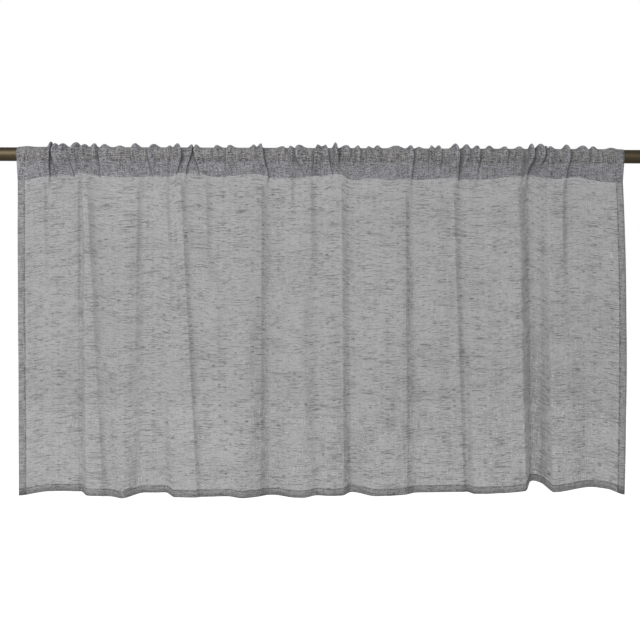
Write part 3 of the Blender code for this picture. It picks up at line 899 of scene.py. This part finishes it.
def sheer_cloth():
    material, shader, wire = new_finish("sheer_linen_look")
    woven = wire.node("ShaderNodeUVMap", {"uv_map": "woven"})
    turn = read_from_mesh(wire, "turn")
    ridge = read_from_mesh(wire, "ridge")
    doubled = read_from_mesh(wire, "doubled")
    height = wire.node("ShaderNodeSeparateXYZ", {}, out=2, Vector=wire.node("ShaderNodeTexCoord", {}, out=3))
    # painted shade where the rod shows through the pocket, growing towards the rod's lower edge and ending
    # there
    rod_shows = height.rise(-ROD_RADIUS - ROD_EDGE, -ROD_RADIUS) * (1 - read_from_mesh(wire, "lifted"))
    painted_rod_shade = rod_shows * (0 - height).rise(0.0, ROD_RADIUS) ** ROD_CROWDING
    noises = [uneven(wire, woven, t.across, t.down, detail=0.0, seed=t.seed) - 0.5 for t in THREADS]
    fine = (uneven(wire, woven, FINE_GRAIN, FINE_GRAIN, detail=0.0, seed=29.0) - 0.5) * doubled
    patches = uneven(wire, woven, 0.055, 0.020, detail=1.0, seed=31.0) - 0.5
    broad = uneven(wire, woven, 0.160, 0.110, detail=1.0, seed=41.0) - 0.5
    dashes = []
    for row in SLUBS:
        noise = uneven(wire, woven, row.across, row.down, detail=0.0, seed=row.seed)
        dashes.append((noise + patches * row.clustered).rise(row.start, row.full))
    slub = added_up(dashes).held(0.0, 1.0)
    threads = added_up([noise * t.tone for noise, t in zip(noises, THREADS)])
    threads = threads * (1 - doubled * THREADS_IN_POCKET) + fine * FINE_TONE
    tone = 0.5 + threads + broad * BROAD_TONE - slub * (SLUB_DARKENS - doubled * SLUB_IN_POCKET)
    # the painted light and shade and the rod's painted shade are multiplied into the yarn's tone
    lit = tone * (1 + ridge * PAINTED_LIGHT_STRENGTH - painted_rod_shade * ROD_PAINTED_SHADE).held(*LIT_LIMITS)
    yarn = mix_colors(wire, lit.held(0.0, 1.0), YARN_DARK, YARN_LIGHT)
    # painted tint: cooler on the pocket, warmer where the rod shows through
    painted_tint = mix_colors(wire, rod_shows, PAINTED_POCKET_COOL, PAINTED_ROD_WARMTH)
    tinted = wire.node("ShaderNodeMix", {"data_type": "RGBA", "blend_type": "MULTIPLY"}, out=2,
                       i0=doubled, i6=yarn, i7=painted_tint)
    plug(shader, "Base Color", tinted)
    gaps = 1 - added_up([noise * t.gap for noise, t in zip(noises, THREADS)])
    opening = OPEN_SHARE * (1 - SLUB_CLOSES * slub) * gaps
    # painted shade also closes the gaps, so shaded cloth lets less white through
    dense = turn + (0 - ridge).held(0.0, 1.0)
    plug(shader, "Alpha", 1 - opening.held(*GAP_LIMITS) ** dense)
    bumps = added_up([noise * t.bump for noise, t in zip(noises, THREADS)]) + slub * 0.8
    plug(shader, "Normal", wire.node("ShaderNodeBump", {}, Strength=0.5, Distance=0.0004, Height=bumps))
    plug(shader, "Roughness", 0.86 + slub * 0.08)
    shader.inputs["Specular IOR Level"].default_value = 0.25
    shader.inputs["Sheen Weight"].default_value = 0.08
    shader.inputs["Sheen Roughness"].default_value = 0.5
    return material


cloth_finish = sheer_cloth()
curtain.data.materials.append(cloth_finish)
print(len(cloth_finish.node_tree.nodes), "nodes in the cloth")

# %% [markdown]
# The sewing thread is the same grey, spun tighter, so it is a little darker and smoother, with the ply
# showing as fine slanted bands.


# %% Sewing thread
def sewing_thread():
    material, shader, wire = new_finish("sewing_thread")
    place = wire.node("ShaderNodeTexCoord", {}, out=3)
    ply = wire.node("ShaderNodeTexWave", {"wave_type": "BANDS", "bands_direction": "DIAGONAL"}, out=1,
                    Vector=place, Scale=700.0, Distortion=1.0)
    plug(shader, "Base Color", mix_colors(wire, ply * 0.5, (0.12, 0.12, 0.13, 1.0), (0.24, 0.24, 0.25, 1.0)))
    shader.inputs["Roughness"].default_value = 0.6
    return material


stitches.data.materials.clear()
stitches.data.materials.append(sewing_thread())
print("the stitches take", stitches.data.materials[0].name)

# %% [markdown]
# The rod is a plain tube in antique bronze: a dark brown metal lacquer, satin and not mirror bright. Its
# cloudy tone and fine lengthwise brushing keep it from looking like plastic.

# %% The bronze rod
BRONZE_DARK = (0.070, 0.054, 0.033, 1.0)
BRONZE_LIGHT = (0.130, 0.103, 0.067, 1.0)


def antique_bronze():
    material, shader, wire = new_finish("antique_bronze")
    place = wire.node("ShaderNodeTexCoord", {}, out=3)
    brushed = wire.node("ShaderNodeMapping", {}, Vector=place, Scale=(12.0, 1500.0, 1500.0))
    lines = wire.node("ShaderNodeTexNoise", {}, out=0, Vector=brushed, Scale=1.0, Detail=2.0)
    clouds = wire.node("ShaderNodeTexNoise", {}, out=0, Vector=place, Scale=28.0, Detail=3.0)
    tone = (clouds - 0.5) * 0.8 + (lines - 0.5) * 0.5 + 0.5
    plug(shader, "Base Color", mix_colors(wire, tone.held(0.0, 1.0), BRONZE_DARK, BRONZE_LIGHT))
    plug(shader, "Roughness", 0.50 + (lines - 0.5) * 0.10 + (clouds - 0.5) * 0.08)
    plug(shader, "Normal", wire.node("ShaderNodeBump", {}, Strength=0.15, Distance=0.0001, Height=lines))
    shader.inputs["Metallic"].default_value = 1.0
    return material


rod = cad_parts["rod"]
rod.data.materials.clear()
rod.data.materials.append(antique_bronze())
print("the rod keeps its shape and takes", rod.data.materials[0].name)

# %% [markdown]
# The curtain hangs in a bright white studio. A pale floor lies below it, and the air behind it is an even
# white, which is also what shows through the gaps in the weave. A wide lamp to the left of the camera
# gives the folds their shape, and a weaker one on the right keeps their dark sides open. The floor glows
# only where the camera sees it, so it stays pale without lighting the hem from below.

# %% Floor, light and camera
FLOOR_DROP = 0.55
FLOOR_RADIUS = 9.0
FLOOR_GLOW = 0.85
AIR_SEEN = 1.0
AIR_CAST = 0.42


def add_floor():
    mesh = bmesh.new()
    bmesh.ops.create_circle(mesh, cap_ends=True, segments=64, radius=FLOOR_RADIUS)
    bmesh.ops.translate(mesh, verts=mesh.verts, vec=(0.0, 0.0, cad_low.z - FLOOR_DROP))
    data = bpy.data.meshes.new("floor")
    mesh.to_mesh(data)
    mesh.free()
    floor = bpy.data.objects.new("floor", data)
    bpy.context.scene.collection.objects.link(floor)
    material, shader, wire = new_finish("pale_floor")
    seen = wire.node("ShaderNodeLightPath", {}, out=0)
    shader.inputs["Base Color"].default_value = (0.60, 0.60, 0.60, 1.0)
    shader.inputs["Roughness"].default_value = 0.9
    shader.inputs["Emission Color"].default_value = (1.0, 1.0, 1.0, 1.0)
    plug(shader, "Emission Strength", seen * FLOOR_GLOW)
    data.materials.append(material)


def add_lamp(name, place, aim, size, power):
    data = bpy.data.lights.new(name, "AREA")
    data.shape = "RECTANGLE"
    data.size, data.size_y = size
    data.energy = power
    lamp = bpy.data.objects.new(name, data)
    lamp.location = place
    lamp.rotation_euler = (Vector(aim) - Vector(place)).to_track_quat("-Z", "Y").to_euler()
    bpy.context.scene.collection.objects.link(lamp)


def add_air(seen, cast):
    """An even white that is seen at one strength and lights the scene at another."""
    world = bpy.data.worlds.new("studio_air")
    world.use_nodes = True
    bpy.context.scene.world = world
    background = world.node_tree.nodes["Background"]
    wire = Wire(world.node_tree, background.outputs[0])
    ray = wire.node("ShaderNodeLightPath", {}, out=0)
    background.inputs["Color"].default_value = (1.0, 1.0, 1.0, 1.0)
    plug(background, "Strength", cast + ray * (seen - cast))


middle = (cad_low + cad_high) / 2
add_floor()
add_air(AIR_SEEN, AIR_CAST)
add_lamp("key", (-1.20, -1.70, 0.45), (-0.15, 0.0, -0.28), (2.0, 1.6), 41.0)
add_lamp("fill", (1.3, -2.6, 0.3), (0.1, 0.0, -0.3), (1.8, 1.8), 13.0)

CAMERA_DISTANCE = 1.80
CAMERA_TURN = math.radians(1.46)
CAMERA_ASIDE = -0.0069
CAMERA_LENS = 58.09
camera = bpy.data.objects.new("camera", bpy.data.cameras.new("camera"))
camera.data.lens = CAMERA_LENS
camera.location = (CAMERA_ASIDE - CAMERA_DISTANCE * math.sin(CAMERA_TURN),
                   -CAMERA_DISTANCE * math.cos(CAMERA_TURN), middle.z)
camera.rotation_euler = (math.radians(90), 0.0, -CAMERA_TURN)
bpy.context.scene.collection.objects.link(camera)
bpy.context.scene.camera = camera
bpy.context.scene.view_settings.view_transform = "Standard"
print("the camera stands", CAMERA_DISTANCE, "m away")

# %% [markdown]
# Last, each piece is tied to the frame: it rides on the only body there is, and the fine cloth stands in for
# the plain one.

# %% Tie the pieces to the frame
for piece in (curtain, stitches):
    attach(piece, "root")
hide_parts("curtain")
